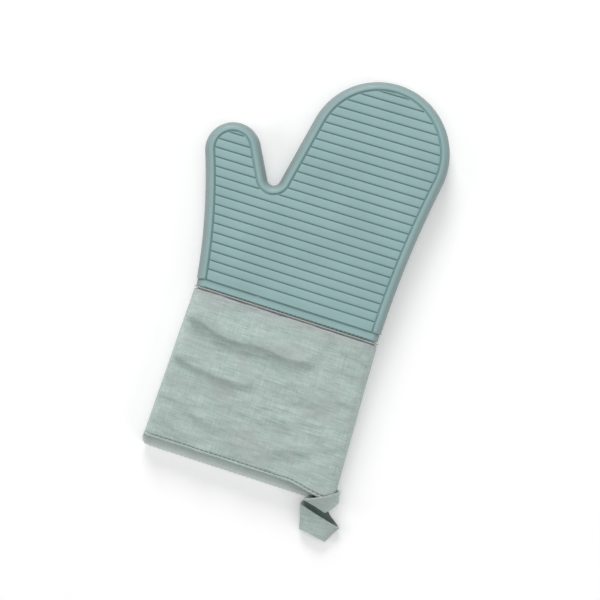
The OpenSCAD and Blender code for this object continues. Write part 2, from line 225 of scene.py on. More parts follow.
class Shell:
    """Grids of points that meet along their edges, made into one closed wall.

    Each point has two marks of painted light and shade for its material: rim on an edge, dip in a
    hollow.
    """

    def __init__(self):
        self.outer = []
        self.inner = []
        self.marks = []
        self.faces = []
        self.found = {}

    def point(self, outer, inner, mark):
        """Number of a point, which is added if no grid had it yet."""
        key = tuple(int(round(c * MERGE_STEPS)) for c in outer)
        if key not in self.found:
            self.found[key] = len(self.outer)
            self.outer.append(outer)
            self.inner.append(inner)
            self.marks.append(mark)
        return self.found[key]

    def grid(self, outer, inner, marks=None, flip=False):
        """Adds a grid of outer points and the inner points below them."""
        rows, columns = outer.shape[:2]
        if marks is None:
            marks = np.zeros((rows, columns, 2))
        ids = [[self.point(outer[i, k], inner[i, k], marks[i, k]) for k in range(columns)]
               for i in range(rows)]
        for i in range(rows - 1):
            for k in range(columns - 1):
                ring = [ids[i][k], ids[i][k + 1], ids[i + 1][k + 1], ids[i + 1][k]]
                ring = [v for n, v in enumerate(ring) if v not in ring[:n]]
                if len(ring) > 2:
                    self.faces.append(ring[::-1] if flip else ring)

    def piece(self, name, slot, material):
        """Joins outside and inside along the open edges."""
        count = len(self.outer)
        edges = {(a, b) for f in self.faces for a, b in zip(f, f[1:] + f[:1])}
        inside = [[v + count for v in f[::-1]] for f in self.faces]
        border = [[b, a, a + count, b + count] for a, b in sorted(edges) if (b, a) not in edges]
        marks = np.array(self.marks + self.marks, float)
        return make_piece(name, np.vstack([self.outer, self.inner]), self.faces + inside + border,
                          material, {"rim": marks[:, 0], "dip": marks[:, 1]})


# ---------------------------------------------------------------- rows across the glove
# Profile of the rim, from the mitt's outermost edge in to the ribs: distance from the outline and
# height above the middle plane. The last two points climb from the floor onto a rib.
RIM_HALF = 5.4
RIB_H = 0.9
FLOOR = MID_Z - RIB_H
RIM_DROP = 0.3
RIM_TURNS = np.radians([0, 10, 22, 35, 49, 64, 79])
RIM_D = np.concatenate([RIM_HALF * (1 - np.cos(RIM_TURNS)), [5.8, 6.4, 7.0, 7.35, 8.1, 8.35, 8.8]])
RIM_Z = np.concatenate([(MID_Z - 0.1) * np.sin(RIM_TURNS),
                        [MID_Z, MID_Z, MID_Z - RIM_DROP, FLOOR, FLOOR]])
RIB_RISE = np.array([0.8, 1.0])
# The same columns' painted shade, darkest at the outer edge
RIM_SHADE = np.array([1, 1, 1, 0.95, 0.85, 0.6, 0.3, 0.1, 0, 0, 0, 0, 0, 0])
# Painted shade of the groove along the rim, and how strong it is on the left and on the right
CHANNEL_SHADE = np.array([0, 0, 0, 0, 0, 0, 0, 0, 0, 0, 0.6, 1, 0.9, 0])
CHANNEL_SHADE_LEFT = 1.0
CHANNEL_SHADE_RIGHT = 0.6
RIB_END = RIM_D[-1]
# How many of the columns lie past a plain wall's rounded side
FLAT_COLUMNS = 4
# Profile of a groove: distances from its middle, and the share of the rib's height there
GROOVE_AWAY = [0.28, 0.5, 0.8, 2.3, 3.6]
GROOVE_LEVEL = [0.0, 0.75, 0.9, 0.99, 1.0]
# Diamond quilting of the cotton
QUILT_PITCH = 26.0
QUILT_DEPTH = 1.1
QUILT_SEAM_W = 2.2


class Rim:
    """The rounded edge of a wall at some depth below the glove's surface."""

    def __init__(self, depth, ribbed=False):
        self.ribbed = ribbed
        self.d = RIM_D.copy()
        if ribbed:
            self.z = RIM_Z
        else:
            wide = len(RIM_D) - FLAT_COLUMNS
            turns = np.linspace(0, math.pi / 2, wide)
            level = [math.pi / 2] * (FLAT_COLUMNS - len(RIB_RISE))
            self.d[:wide] = depth + (SIDE_W - depth) * (1 - np.cos(turns))
            self.d[wide:] = np.linspace(SIDE_W + 0.1, RIB_END, FLAT_COLUMNS)
            self.z = (MID_Z - depth) * np.sin(np.append(turns, level))

    def columns(self, level, flat):
        """Insets and heights of one row's columns. level is 1 on a rib and 0 in a groove."""
        if self.ribbed:
            z = np.concatenate([self.z, FLOOR + RIB_H * level * RIB_RISE])
            if flat:
                z = np.where(RIM_D > RIM_HALF, MID_Z, z)
        else:
            z = np.append(self.z, [self.z[-1]] * len(RIB_RISE))
        return self.d, z


def groove_level(y):
    """0 on the floor of a groove, 1 on top of a rib."""
    away = min(np.abs(y - GROOVES).min(), abs(y - COLLAR_Y))
    return float(np.interp(away, GROOVE_AWAY, GROOVE_LEVEL))


def rib_cut(x, y):
    """Where the rib line of height y crosses x."""
    return np.array([x, y + tilt_at(y) * (x - RIB_MIDDLE_X)])


def on_edge(edge, y):
    """The place along an edge whose rib end lies on the rib line of height y."""
    q = edge[:, :2] - edge[:, 2:] * RIB_END
    g = q[:, 1] - (y + tilt_at(y) * (q[:, 0] - RIB_MIDDLE_X))
    above = np.nonzero(g >= 0)[0]
    if len(above) == 0:
        return len(edge) - 1.0
    i = above[0]
    return 0.0 if i == 0 else i - 1 + g[i - 1] / (g[i - 1] - g[i])


def edge_point(edge, place):
    """A point of an edge and the direction that faces out of the mitt there."""
    i = min(int(place), len(edge) - 2)
    row = edge[i] * (1 - place + i) + edge[i + 1] * (place - i)
    return row[:2], row[2:] / np.linalg.norm(row[2:])


def soft_waves(x, y):
    """Slow waves of the upper side, as an empty mitt has. They start above the collar."""
    hollows = 0.35 * np.sin(x / 31 + 0.6) * np.sin(y / 43 + 0.4)
    slanting = 0.25 * np.sin((x + 0.6 * y) / 23)
    return (hollows + slanting) * np.clip((y - COLLAR_Y) / 12, 0, 1)


def quilting(x, y):
    """Depth of a diamond quilting's seams."""
    seams = 0
    for place in (x + y, x - y):
        away = QUILT_PITCH * np.abs((place / QUILT_PITCH) % 1 - 0.5)
        seams = seams + np.exp(-(away / QUILT_SEAM_W) ** 2)
    return QUILT_DEPTH * seams


class Row:
    """One slice across the glove.

    Each end is a place on an edge (point, outward direction), or a point alone where the row runs on
    into the next piece. low and high are its lowest and highest level. pull moves its sides in.
    """

    def __init__(self, left, right, columns, y, low=0.0, high=GLOVE_T, flat=False, pull=0.0):
        self.left = left
        self.right = right
        self.share = np.linspace(0, 1, columns + 1)[:, None]
        self.level = 0.0 if flat else groove_level(y)
        self.low = low
        self.high = high
        self.flat = flat
        self.pull = pull

    def half(self, rim, side, quilted=False):
        """Points of the upper (side 1) or lower (side -1) half at the rim's depth, and marks."""
        d, z = rim.columns(self.level, self.flat)
        d = d + self.pull * np.clip(1 - d / RIB_END, 0, 1)
        strips = []
        marks = []
        inner_ends = []
        for end, channel in ((self.left, CHANNEL_SHADE_LEFT), (self.right, CHANNEL_SHADE_RIGHT)):
            if isinstance(end, tuple):
                strips.append(np.column_stack([end[0] - np.outer(d, end[1]), z])[:-1])
                # Painted shade in the groove along the rim
                dips = CHANNEL_SHADE * (0.0 if self.flat else channel)
                marks.append(np.column_stack([RIM_SHADE, dips])[:-1])
                inner_ends.append(end[0] - end[1] * RIB_END)
            else:
                strips.append(np.empty((0, 3)))
                marks.append(np.empty((0, 2)))
                inner_ends.append(end)
        middle = inner_ends[0] * (1 - self.share) + inner_ends[1] * self.share
        count = len(middle)
        points = np.vstack([strips[0], np.column_stack([middle, np.full(count, z[-1])]),
                            strips[1][::-1]])
        # Painted shade on a groove's floor, gone from two thirds of the rib's height on
        dip = 0.0 if self.flat else np.clip(1.1 - 1.6 * self.level, 0, 1)
        dips = np.column_stack([np.zeros(count), np.full(count, dip)])
        lift = (self.high - self.low) / GLOVE_T
        height = points[:, 2] * lift
        if quilted:
            # Only the flat part is quilted, not the rounded sides
            flatness = np.clip((points[:, 2] / z[-1] - 0.8) * 5, 0, 1)
            height += quilting(points[:, 0], points[:, 1]) * flatness
        if side > 0:
            height = height + soft_waves(points[:, 0], points[:, 1]) * points[:, 2] / MID_Z
        points[:, 2] = middle_of(self.low, self.high) + side * height
        return points, np.vstack([marks[0], dips, marks[1][::-1]])


def add_rows(shell, rows, outside, inside, quilted=False):
    """Adds both sides of a run of rows to a shell, as a wall between two rims."""
    for side in (1, -1):
        outer = [row.half(outside, side) for row in rows]
        inner = [row.half(inside, side, quilted)[0] for row in rows]
        shell.grid(np.array([o[0] for o in outer]), np.array(inner),
                   np.array([o[1] for o in outer]), side < 0)


# Rows around each groove: many where they draw the groove, few where the wall has none
FINE_ROWS = [-0.8, -0.48, -0.28, 0, 0.28, 0.48, 0.8, 2.3, 3.6, 4.9]
COARSE_ROWS = [0, 2.4, 4.8]
LEAST_ROW_GAP = 0.12
TIP_GAP = 0.25
TIP_SHARES = (0.25, 0.5, 0.75, 0.9, 1.0)
PALM_COLUMNS = 44
THUMB_COLUMNS = 16
FINGER_COLUMNS = 34


def row_heights(y0, y1, fine):
    """Heights of the rows from y0 to y1: close together where they draw grooves."""
    offsets = FINE_ROWS if fine else COARSE_ROWS
    values = sorted(g + o for g in (COLLAR_Y, *GROOVES, TIP_Y) for o in offsets)
    heights = [y0]
    for v in values:
        if heights[-1] + LEAST_ROW_GAP < v < y1 - LEAST_ROW_GAP:
            heights.append(v)
    return [*heights, y1]


def across(left, right, columns, y, **shape):
    """A row between two edges, or between an edge and the line of the notch (None)."""
    ends = [rib_cut(NOTCH_C[0], y) if e is None else edge_point(e, on_edge(e, y))
            for e in (left, right)]
    return Row(ends[0], ends[1], columns, y, **shape)


def lobe_rows(left, right, columns, y0, fine):
    """Rows of a lobe from height y0 up to its tip, where its two edges meet."""
    top_point = left[-1, :2] - left[-1, 2:] * RIB_END
    top = top_point[1] - tilt_at(top_point[1]) * (top_point[0] - RIB_MIDDLE_X)
    heights = row_heights(y0, top - TIP_GAP, fine)[:-1]
    rows = [across(left, right, columns, y) for y in heights]
    last = heights[-1]
    places = on_edge(left, last), on_edge(right, last)
    for t in TIP_SHARES:
        ends = [edge_point(e, p + (len(e) - 1 - p) * t) for e, p in zip((left, right), places)]
        rows.append(Row(ends[0], ends[1], columns, last + (top - last) * t))
    return rows


# Height of the rib line that touches the notch's rim from below, in two steps since its slope
# depends on its height
NOTCH_BASE = NOTCH_C - np.array([0, NOTCH_R + RIB_END])
NOTCH_Y = NOTCH_BASE[1] - tilt_at(NOTCH_BASE[1]) * (NOTCH_BASE[0] - RIB_MIDDLE_X)
NOTCH_Y = NOTCH_BASE[1] - tilt_at(NOTCH_Y) * (NOTCH_BASE[0] - RIB_MIDDLE_X)


def palm_runs(fine):
    """Rows of the palm, from the collar to the groove where thumb and fingers are split off.

    The collar is flat, with a dent along its sewn edge and one below the ribs.
    """
    collar = {"low": COLLAR_LOW, "high": COLLAR_HIGH, "flat": True, "pull": 0.7}
    dented = {"low": COLLAR_LOW + 0.8, "high": COLLAR_HIGH - 0.8, "flat": True, "pull": 1.3}
    rising = {"low": 0.3, "high": GLOVE_T - 0.4, "pull": -0.8}
    rows = [across(OUTER_LEFT, OUTER_RIGHT, PALM_COLUMNS, y, **shape) for y, shape in (
        (SEAM_Y, dented), (SEAM_Y + 0.45, collar), (SEAM_Y + 2.6, collar),
        (COLLAR_Y - 0.6, collar), (COLLAR_Y - 0.15, dented), (COLLAR_Y + 0.15, dented),
        (COLLAR_Y + 0.4, rising))]
    for y in row_heights(COLLAR_Y + 0.8, SPLIT_Y, fine):
        rows.append(across(OUTER_LEFT, OUTER_RIGHT, PALM_COLUMNS, y))
    return [rows]


def thumb_runs(fine):
    """Rows of the thumb: below the notch, and beside it up to the tip."""
    heights = row_heights(SPLIT_Y, NOTCH_Y, fine)
    base = [across(OUTER_LEFT, None, THUMB_COLUMNS, y) for y in heights]
    return [base, lobe_rows(OUTER_LEFT, THUMB_INSIDE, THUMB_COLUMNS, NOTCH_Y, fine)]


def finger_runs(fine):
    """Rows of the fingers: below the notch, and beside it up to the tip."""
    heights = row_heights(SPLIT_Y, NOTCH_Y, fine)
    base = [across(None, OUTER_RIGHT, FINGER_COLUMNS, y) for y in heights]
    return [base, lobe_rows(FINGER_INSIDE, OUTER_RIGHT, FINGER_COLUMNS, NOTCH_Y, fine)]


# ---------------------------------------------------------------- materials
def colour(*values):
    """A shader colour from 0-255 screen values."""
    return [((v / 255 + 0.055) / 1.055) ** 2.4 for v in values] + [1.0]


class Look:
    """A procedural material. Its patterns lie in millimetres on the piece's shape at rest."""

    def __init__(self, name, **values):
        self.material = bpy.data.materials.new(name)
        self.material.use_nodes = True
        self.tree = self.material.node_tree
        self.shader = self.tree.nodes["Principled BSDF"]
        self.place = self.add("ShaderNodeAttribute", attribute_name="rest").outputs["Vector"]
        for key, value in values.items():
            self.shader.inputs[key.replace("_", " ")].default_value = value

    def add(self, kind, inputs=None, **settings):
        """Adds a node; its inputs are values or other nodes' outputs."""
        node = self.tree.nodes.new(kind)
        for key, value in settings.items():
            setattr(node, key, value)
        for key, value in (inputs or {}).items():
            if isinstance(value, bpy.types.NodeSocket):
                self.tree.links.new(value, node.inputs[key])
            else:
                node.inputs[key].default_value = value
        return node

    def mark(self, name):
        """One of the marks that a piece's points carry."""
        return self.add("ShaderNodeAttribute", attribute_name=name).outputs["Fac"]

    def math(self, operation, a, b=0.0):
        return self.add("ShaderNodeMath", {0: a, 1: b}, operation=operation).outputs[0]

    def total(self, start, *terms):
        """A starting value plus other values, each times its weight."""
        for value, weight in terms:
            start = self.math("ADD", start, self.math("MULTIPLY", value, weight))
        return start

    def axis(self, name):
        """The place along one axis, in millimetres."""
        return self.add("ShaderNodeSeparateXYZ", {0: self.place}).outputs[name]

    def noise(self, scale, detail=2.0, rough=0.5):
        """Noise with so many grains per millimetre along x, y and z."""
        place = self.add("ShaderNodeVectorMath", {0: self.place, 1: scale}, operation="MULTIPLY")
        return self.add("ShaderNodeTexNoise", {"Vector": place.outputs[0], "Scale": 1.0,
                                               "Detail": detail, "Roughness": rough}).outputs["Fac"]

    def ramp(self, value, low, high, out_low=0.0, out_high=1.0):
        """A value spread from one range to another, and held at that range's ends."""
        return self.add("ShaderNodeMapRange", {"Value": value, "From Min": low, "From Max": high,
                                               "To Min": out_low, "To Max": out_high}).outputs[0]

    def ridges(self, axis, pitch):
        """Threads that run side by side across one axis, from 0 between them to 1 on top."""
        turn = self.math("MULTIPLY", self.axis(axis), math.pi / pitch)
        return self.math("ABSOLUTE", self.math("SINE", turn))

    def mix(self, amount, a, b):
        """Colour a where the amount is 0, and b where it is 1."""
        node = self.add("ShaderNodeMix", {0: amount, 6: a, 7: b}, data_type="RGBA")
        return node.outputs[2]

    def finish(self, base, height=None, distance=0.1, strength=1.0, roughness=None):
        """Joins colour, bumps (their depth in millimetres) and roughness to the shader."""
        self.tree.links.new(base, self.shader.inputs["Base Color"])
        if roughness is not None:
            self.tree.links.new(roughness, self.shader.inputs["Roughness"])
        if height is not None:
            bump = self.add("ShaderNodeBump", {"Height": height, "Distance": distance * MM,
                                               "Strength": strength})
            self.tree.links.new(bump.outputs[0], self.shader.inputs["Normal"])
        return self.material


def silicone_look():
    look = Look("ribbed silicone", Roughness=0.5, Coat_Weight=0.05, Coat_Roughness=0.4)
    cloudy = look.ramp(look.noise((0.03, 0.03, 0.03), 3.0), 0.3, 0.7)
    face = look.mix(cloudy, colour(131, 162, 162), colour(137, 168, 168))
    # Painted shade, greyer towards the rim's outer edge
    rim_shaded = look.mix(look.mark("rim"), face, colour(127, 141, 141))
    # Painted shade in the grooves
    groove_shade = look.math("MULTIPLY", look.mark("dip"), 0.8)
    base = look.mix(groove_shade, rim_shaded, colour(84, 112, 112))
    specks = look.noise((4.0, 4.0, 4.0), 3.0, 0.7)
    rough = look.ramp(look.noise((0.2, 0.2, 0.2), 4.0), 0.3, 0.7, 0.44, 0.58)
    return look.finish(base, specks, 0.05, 0.6, rough)


def woven_look(name, dark, light, pitch, slub, tone_and_painted_light=False):
    """Plain weave with thick threads here and there, both along and across the cloth.

    Its tone lies between dark and light. slub says how strong the uneven threads show.
    """
    look = Look(name, Roughness=0.9, Sheen_Weight=0.15, Sheen_Roughness=0.6)
    along = look.noise((0.06, 1.5, 0.25), 2.0, 0.6)
    across = look.noise((1.5, 0.05, 0.25), 2.0, 0.6)
    thick_along = look.ramp(along, 0.5, 0.78)
    thick_across = look.ramp(across, 0.5, 0.78)
    threads = look.math("MULTIPLY", look.ridges("X", pitch), look.ridges("Y", pitch))
    uneven = look.ramp(look.noise((0.06, 0.06, 0.06), 4.0, 0.6), 0.25, 0.75)
    slubs = look.math("MAXIMUM", thick_along, thick_across)
    streaks = look.total(-1.1, (along, 1.5), (across, 0.7))
    flecks = look.total(-1.0, (look.noise((0.22, 1.8, 0.4)), 1.0), (look.noise((1.8, 0.22, 0.4)), 1.0))
    tone = look.total(0.3, (uneven, 0.25), (threads, 0.3), (streaks, slub), (flecks, 0.55 * slub))
    tone = look.math("MAXIMUM", 0.0, look.math("MINIMUM", 1.0, tone))
    base = look.mix(tone, dark, light)
    # Greyer tone, and painted light and shade from the pieces' marks
    if tone_and_painted_light:
        base = add_tone_and_painted_light(look, base)
    height = look.math("ADD", threads, look.math("MULTIPLY", slubs, 1.2))
    return look.finish(base, height, 0.16, 0.8)


GREY_BAND = 9


def add_tone_and_painted_light(look, base):
    """Greyer patches and band below the collar, painted light in the mouth, painted shade in the loop.
    """
    grey = colour(168, 172, 173)
    patches = look.ramp(look.noise((0.03, 0.045, 0.03), 2.0), 0.5, 0.72, 0.0, 0.45)
    band = look.ramp(look.axis("Y"), CUFF_LEN - GREY_BAND, CUFF_LEN, 0.0, 0.7)
    base = look.mix(look.math("MAXIMUM", patches, band), base, grey)
    # Painted light on the back's inner face at the mouth
    base = look.mix(look.math("MULTIPLY", look.mark("rim"), 0.8), base, colour(214, 222, 219))
    # Painted shade inside the loop's fold
    return look.mix(look.math("MULTIPLY", look.mark("dip"), 0.8), base, colour(66, 84, 80))


def batting_look():
    look = Look("batting", Roughness=1.0, Sheen_Weight=0.3)
    fibres = look.noise((0.6, 0.6, 0.6), 5.0, 0.75)
    base = look.mix(fibres, colour(222, 220, 214), colour(243, 242, 238))
    return look.finish(base, fibres, 0.5, 1.0)


def thread_look(name, dark, light):
    look = Look(name, Roughness=0.7, Sheen_Weight=0.2)
    twist = look.noise((2.5, 2.5, 2.5), 2.0, 0.5)
    return look.finish(look.mix(twist, dark, light), twist, 0.08, 1.0)


SILICONE = silicone_look()
LINEN = woven_look("slubbed linen", colour(142, 162, 157), colour(192, 207, 201), 0.55, 1.0, True)
COTTON = woven_look("cotton", colour(214, 211, 198), colour(238, 236, 226), 0.35, 0.3)
BATTING = batting_look()
DARK_THREAD = thread_look("dark thread", colour(84, 98, 97), colour(112, 126, 124))
LIGHT_THREAD = thread_look("light thread", colour(84, 102, 97), colour(112, 130, 124))


def ride_palm(piece):
    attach(piece, "palm_and_cuff")


def bend_fingers(piece):
    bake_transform(piece)


def bend_thumb(piece):
    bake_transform(piece)


def bend_loop(piece):
    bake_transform(piece)


# ---------------------------------------------------------------- silicone glove and its lining
ZONES = {"palm": (palm_runs, ride_palm), "fingers": (finger_runs, bend_fingers),
         "thumb": (thumb_runs, bend_thumb)}
# Depth of each ply's two faces below the glove's surface, and below the cuff's
GLOVE_PLIES = {"batting": (2.55, 5.55), "cotton": (5.7, 6.6)}
CUFF_PLIES = {"batting": (1.7, 4.0), "cotton": (4.2, 5.1)}
PLY_LOOKS = {"batting": BATTING, "cotton": COTTON}


def make_silicone(zone, runs, move):
    shell = Shell()
    for rows in runs(True):
        add_rows(shell, rows, Rim(0, ribbed=True), Rim(WALL))
    piece = shell.piece("silicone_glove_" + zone, "silicone", SILICONE)
    move(piece)
    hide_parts("silicone_" + zone)


def make_lining(zone, runs, move):
    for label, (outer, inner) in GLOVE_PLIES.items():
        shell = Shell()
        for rows in runs(False):
            add_rows(shell, rows, Rim(outer), Rim(inner), quilted=label == "cotton")
        piece = shell.piece(f"{label}_{zone}_lining", label, PLY_LOOKS[label])
        move(piece)
        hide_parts(f"{label}_front_{zone}", f"{label}_back_{zone}")


for zone, (runs, move) in ZONES.items():
    make_silicone(zone, runs, move)
    make_lining(zone, runs, move)


# ---------------------------------------------------------------- cuff
MOUTH_HALF = 79.3
MOUTH_T = 19.0
FRONT_EDGE = 8.5
HEM_LEN = 25.0
LINEN_T = 0.9
CUFF_COLUMNS = 110
LINING_COLUMNS = 60
SIDE_TURNS = np.radians([0, 12, 24, 37, 50, 64, 78, 90])
SIDE_RISE = np.sin(SIDE_TURNS)
# How far the cuff's front may sink and rise from its plain shape
LOWEST = -3
HIGHEST = 5
# The front's edge hangs down from x = DROP_X on, and the back's corner on the left is rounded
DROP_H = 5.0
DROP_X = 38
DROP_W = 32
DROP_REACH = 16
CORNER_H = 6.0
CORNER_W = 7
CORNER_REACH = 9


def cuff_shape(y):
    """Left and right edge, bottom and top of the cuff at a height."""
    t = min(y / CUFF_LEN, 1.0)
    if y > SEAM_Y:
        left = THUMB_SIDE_C[0] + math.sqrt(THUMB_SIDE_R ** 2 - (y - THUMB_SIDE_C[1]) ** 2)
        right = FINGER_SIDE_C[0] - math.sqrt(FINGER_SIDE_R ** 2 - (y - FINGER_SIDE_C[1]) ** 2)
        return -abs(left), abs(right), COLLAR_LOW, COLLAR_HIGH
    left = MOUTH_HALF + (WRIST_LEFT - MOUTH_HALF) * t
    right = MOUTH_HALF + (WRIST_RIGHT - MOUTH_HALF) * t
    return -left, right, COLLAR_LOW * t, MOUTH_T + (COLLAR_HIGH - MOUTH_T) * t


def side_rise(columns):
    """Share of the cuff's height at each point across it: 0 at its sides and 1 on its flat part."""
    return np.concatenate([SIDE_RISE, np.ones(columns - 1), SIDE_RISE[::-1]])


def cuff_line(y, depth, side, columns, relief=None):
    """Points across the upper or lower half of the cuff at one height, from left to right."""
    left, right, low, high = cuff_shape(y)
    tall = (high - low) / 2 - depth
    inset = depth + (SIDE_W - depth) * (1 - np.cos(SIDE_TURNS))
    flat = np.linspace(left + SIDE_W, right - SIDE_W, columns + 1)[1:-1]
    x = np.concatenate([left + inset, flat, right - inset[::-1]])
    rise = side_rise(columns)
    z = middle_of(low, high) + side * tall * rise
    if relief is not None:
        z = z + relief(x, y) * smooth_step(rise * 1.6 - 0.6)
    shift = -front_drop(x, y) if side > 0 else back_corner(x, y)
    return np.column_stack([x, y + shift, z])


def front_drop(x, y):
    """How far the front's edge hangs down towards the hanging loop."""
    fading = np.exp(-((y - FRONT_EDGE) / DROP_REACH) ** 2)
    return DROP_H * smooth_step((x - DROP_X) / DROP_W) * fading


def back_corner(x, y):
    """How far the rounded corner of the back's edge lies above its straight part."""
    inside = np.clip((x + MOUTH_HALF) / CORNER_W, 0, 1)
    curve = 1 - np.sqrt(1 - (1 - inside) ** 2)
    return CORNER_H * curve * np.exp(-(y / CORNER_REACH) ** 2)


def crease(x, y, points, height, below, above):
    """A fold along a line, with its own width below and above, fading out towards its ends."""
    spots = np.array(points, float)
    away = y - np.interp(x, spots[:, 0], spots[:, 1])
    wide = np.where(away < 0, below, above)
    from_left = smooth_step((x - spots[0, 0] + 4) / 14)
    from_right = smooth_step((spots[-1, 0] + 8 - x) / 26)
    return height * from_left * from_right * np.exp(-(away / wide) ** 2)


# Folds of the cuff's front: a line from left to right, a height, and how wide the fold is below
# and above its line
FOLDS = [
    ([(-76, 109), (-59, 106), (-47, 102), (-38, 100), (-11, 103), (11, 100), (33, 103)],
     5.6, 2.2, 13.0),
    ([(-76, 103), (-59, 100), (-38, 94), (-11, 97), (11, 94), (30, 96)], -1.6, 9.0, 3.2),
    ([(-77, 77), (-60, 72.5), (-26, 69), (-4, 71)], 3.2, 2.2, 10.0),
    ([(-77, 71), (-60, 67), (-26, 63), (-4, 65)], -1.0, 8.0, 3.0),
    ([(-79, 121), (-66, 115)], 1.6, 1.8, 5.0),
    ([(38, 120), (55, 118), (76, 114)], 1.4, 2.2, 6.0),
    ([(15, 84), (45, 79), (76, 83)], 1.3, 2.6, 12.0),
    ([(20, 30), (45, 36), (76, 48)], 1.2, 3.0, 12.0),
    ([(-60, 38), (-30, 33), (0, 37)], 1.0, 3.0, 12.0),
]


# Dents of the front: x, y, half width along x and along y, depth
DENTS = [(62, 37, 13, 8, 0.9), (-74, 115, 6, 12, 0.8)]
# Puckers along the collar's seam: strength, length of the wave, shift
PUCKERS = [(1.0, 2.4, 0.0), (0.7, 1.45, 1.3), (0.5, 5.1, 0.4)]
PUCKER_H = 0.16
PUCKER_REACH = 5.0


def slow_waves(x, y, long_x, long_y, place):
    """Noise along a line across the cuff. The place says which part of the noise it takes."""
    return np.array([noise.fractal((a / long_x, y / long_y, place), 1.0, 2.0, 3) for a in x])


def front_relief(x, y):
    """Folds, dents and small waves of the cuff's front, which also sinks towards the mouth."""
    relief = np.zeros(len(x))
    for line, height, below, above in FOLDS:
        relief = relief + crease(x, y, line, height, below, above)
    for dent_x, dent_y, wide, long, depth in DENTS:
        relief = relief - depth * np.exp(-((x - dent_x) / wide) ** 2 - ((y - dent_y) / long) ** 2)
    pucker = sum(strength * np.sin(x / length + shift) for strength, length, shift in PUCKERS)
    relief = relief + PUCKER_H * pucker * np.exp(-(CUFF_LEN - y) / PUCKER_REACH)
    sinking = 0.6 * smooth_step((40 - y) / 45)
    return np.clip(relief + 1.7 * slow_waves(x, y, 24, 12, 3.1) - sinking, LOWEST, HIGHEST)


def back_relief(x, y):
    """Faint waves of the cuff's back, which lies on the table."""
    return 0.35 + 0.35 * slow_waves(x, y, 30, 18, 8.4)


def row_steps(y0, y1, step):
    """Heights from y0 to y1, about one step apart."""
    return np.linspace(y0, y1, max(2, int(round((y1 - y0) / step)) + 1))


# Depth of the tucked end of the linen, from the cuff's surface down under the collar
TUCK = [(CUFF_LEN - 1.4, 0.0), (CUFF_LEN - 0.8, 0.15), (CUFF_LEN - 0.45, 0.7),
        (CUFF_LEN - 0.3, 1.7), (CUFF_LEN + 0.1, 2.55), (COLLAR_Y - 0.15, 2.55)]


def make_cuff(name, side, start, relief, nodes):
    """Upper or lower half of the cuff's linen, from its rounded edge to its tucked end."""
    steps = [(start, 0.8), (start + 0.35, 0.35), (start + 0.8, 0.05)]
    steps += [(y, 0.0) for y in row_steps(start + 1.6, CUFF_LEN - 2.4, 1.4)] + TUCK
    sheets = []
    for face in (0.0, LINEN_T):
        lines = [cuff_line(y, face + d, side, CUFF_COLUMNS, relief) for y, d in steps]
        sheets.append(np.array(lines))
    shell = Shell()
    shell.grid(sheets[0], sheets[1], flip=side < 0)
    piece = shell.piece(name, "linen", LINEN)
    ride_palm(piece)
    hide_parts(nodes)


# The hem's rolled edge, from the linen's outside round to its inside: distance from the edge and
# depth of its outer face, then of its inner face
ROLL_OUT = [(2.5, 0.7), (2.2, 0.05), (1.5, -0.35), (0.7, -0.25), (0.15, 0.3), (0.0, 1.2),
            (0.2, 2.4), (0.9, 3.6), (2.0, 4.5), (2.7, 4.8), (3.6, 4.9)]
ROLL_IN = [(2.5, 1.4), (2.3, 0.9), (1.9, 0.6), (1.45, 0.65), (1.05, 0.8), (0.9, 1.25),
           (1.05, 2.1), (1.45, 3.0), (2.0, 3.7), (2.7, 4.0), (3.6, 4.05)]
ROLL_DEPTH = 4.9
STRIP_T = 0.85
HEM_PITCH = 3.7


def hem_row(reach, depth, thin, side, edge, relief):
    """One row along the hem, thinner at the cuff's sides and scalloped between the stitches."""
    away = smooth_step(2.2 * side_rise(CUFF_COLUMNS))[:, None]
    flat = cuff_line(edge + reach, depth, side, CUFF_COLUMNS, relief)
    sides = cuff_line(edge + reach, min(depth, thin), side, CUFF_COLUMNS, relief)
    row = flat * away + sides * (1 - away)
    scallop = 0.5 - 0.5 * np.cos(row[:, 0] * 2 * math.pi / HEM_PITCH)
    row[:, 1] += 0.6 * (1 - scallop) * math.exp(-(reach / 1.6) ** 2)
    on_top = 0.3 < reach < 2.3 and depth < 0.6
    if on_top:
        row[:, 2] += side * 0.4 * (scallop - 0.5)
    return row


def make_hem(name, side, edge, relief, nodes):
    """The linen turned in at the mouth: a rolled edge between its stitches, and a strip inside."""
    outer = list(ROLL_OUT)
    inner = list(ROLL_IN)
    for reach in np.linspace(5.5, HEM_LEN - edge, 8):
        depth = ROLL_DEPTH - 2.8 * smooth_step((reach + edge - 12) / 13)
        outer.append((reach, depth))
        inner.append((reach, depth - STRIP_T))
    grids = []
    for path, thin in ((outer, 1.1), (inner, 0.5)):
        rows = [hem_row(reach, depth, thin, side, edge, relief) for reach, depth in path]
        grids.append(np.array(rows))
    marks = np.zeros((*grids[0].shape[:2], 2))
    if side < 0:
        # Painted light: the back's inner face is paler towards the mouth
        pale = np.interp([reach for reach, depth in outer], [0, 2, 9, 12], [1, 0.9, 0.2, 0])
        marks[:, :, 0] = pale[:, None]
    shell = Shell()
    shell.grid(grids[0], grids[1], marks, flip=side > 0)
    piece = shell.piece(name, "linen", LINEN)
    ride_palm(piece)
    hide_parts(nodes)


# The linen's outer layer starts behind the rolled edge
ROLL_W = ROLL_OUT[0][0]
make_cuff("cuff_front_linen", 1, FRONT_EDGE + ROLL_W, front_relief, "cuff_front")
make_cuff("cuff_back_linen", -1, ROLL_W, back_relief, "cuff_back")
make_hem("hem_front_linen", 1, FRONT_EDGE, front_relief, "hem_front")
make_hem("hem_back_linen", -1, 0.0, back_relief, "hem_back")


def ring_piece(name, steps, slot, material, columns, relief=None):
    """A closed wall all round the cuff, from heights with an outer and an inner depth each."""
    shell = Shell()
    for side in (1, -1):
        above = relief if side > 0 else None
        outer = np.array([cuff_line(y, a, side, columns, above) for y, a, b in steps])
        inner = np.array([cuff_line(y, b, side, columns, above) for y, a, b in steps])
        shell.grid(outer, inner, flip=side < 0)
    return shell.piece(name, slot, material)


